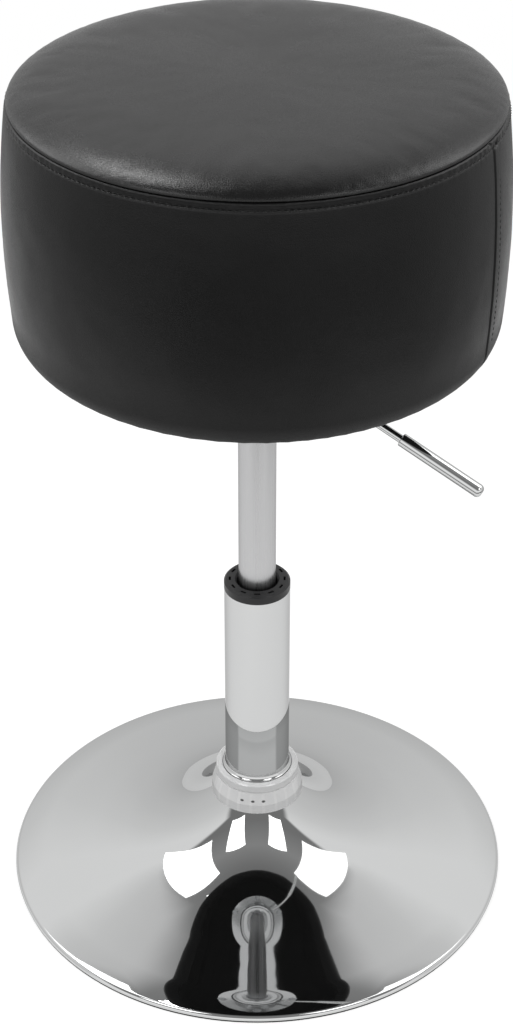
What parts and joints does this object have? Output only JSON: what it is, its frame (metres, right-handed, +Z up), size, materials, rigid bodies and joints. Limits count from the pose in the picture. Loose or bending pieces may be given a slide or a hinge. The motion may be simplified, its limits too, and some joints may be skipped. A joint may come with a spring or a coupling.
{
  "type": "swivel stool",
  "caption": "Round padded stool on a gas-lift column with a trumpet base; the seat turns, rises and sinks, and a lever under it presses the release pin.",
  "frame": {"origin": "on the floor, at the centre of the base, on the column's axis", "axes": "+Z up the column; -Y towards the camera; +X to the picture's right; the lever points 25 degrees from +X towards -Y"},
  "size_m": [0.39, 0.39, 0.6655],
  "materials": {
    "chrome": "bright chrome plate",
    "bright_plate": "bright zinc plate",
    "satin_tube": "satin, ground lengthways",
    "steel": "plain steel",
    "bearing_steel": "ground and polished",
    "zinc": "zinc plate",
    "light_alloy": "turned",
    "clear_plastic": "clear, slightly cloudy",
    "black_plastic": "moulded, satin",
    "white_plastic": "moulded",
    "rubber": "matt",
    "seat_cover": "fine-grained faux leather, semi-matt",
    "foam": "open-cell foam",
    "dust_cloth": "non-woven cloth",
    "plywood": "bare plywood"
  },
  "bodies": {
    "base": {"base_shell": "chrome", "floor_ring": "rubber", "hub_socket": "steel", "brace_plate": "steel", "collar": "clear_plastic", "stand_tube": "chrome", "tube_end_plate": "steel", "guide_bush": "black_plastic", "lower_race": "bearing_steel"},
    "bearing": {"ball_cage": "white_plastic", "bearing_balls": "bearing_steel"},
    "spindle": {"piston_rod": "steel", "upper_race": "bearing_steel", "bump_stop": "rubber", "rod_washer": "steel", "rod_clip": "steel", "piston": "light_alloy", "piston_ring": "white_plastic", "piston_nut": "steel"},
    "lift": {"gas_cylinder": "satin_tube", "pressure_tube": "steel", "rod_guide": "black_plastic", "rod_seal": "rubber", "valve_body": "light_alloy", "valve_seal": "rubber", "taper_socket": "steel", "mechanism_cup": "bright_plate", "pivot_bracket": "steel", "pivot_pin": "steel", "seat_plate": "bright_plate", "plate_washers": "zinc", "plate_screws": "zinc", "tee_nuts": "zinc", "seat_board": "plywood", "seat_foam": "foam", "seat_side_cover": "seat_cover", "seat_top_cover": "seat_cover", "dust_cover": "dust_cloth"},
    "lever": {"release_rocker": "zinc", "lever_rod": "chrome", "lever_handle": "chrome"},
    "valve": {"release_pin": "steel"}
  },
  "joints": [
    {"name": "seat_swivel", "type": "hinge", "parent": "base", "child": "spindle", "pos_m": [0, 0, 0], "axis": [0, 0, 1], "continuous": true},
    {"name": "bearing_spin", "type": "hinge", "parent": "base", "child": "bearing", "pos_m": [0, 0, 0], "axis": [0, 0, 1], "continuous": true},
    {"name": "height_lift", "type": "slide", "parent": "spindle", "child": "lift", "axis": [0, 0, 1], "range_m": [-0.155, 0]},
    {"name": "lever_lift", "type": "hinge", "parent": "lift", "child": "lever", "pos_m": [0.02175, -0.01014, 0.4597], "axis": [-0.4226, -0.9063, 0], "range_deg": [0, 7], "stiffness_Nm_per_rad": 6, "springref_deg": -8.59},
    {"name": "pin_press", "type": "slide", "parent": "lift", "child": "valve", "axis": [0, 0, -1], "range_m": [0, 0.003]}
  ],
  "couplings": [
    {"joint": "bearing_spin", "follows": "seat_swivel", "ratio": 0.5},
    {"joint": "pin_press", "follows": "lever_lift", "m_per_rad": 0.024}
  ]
}
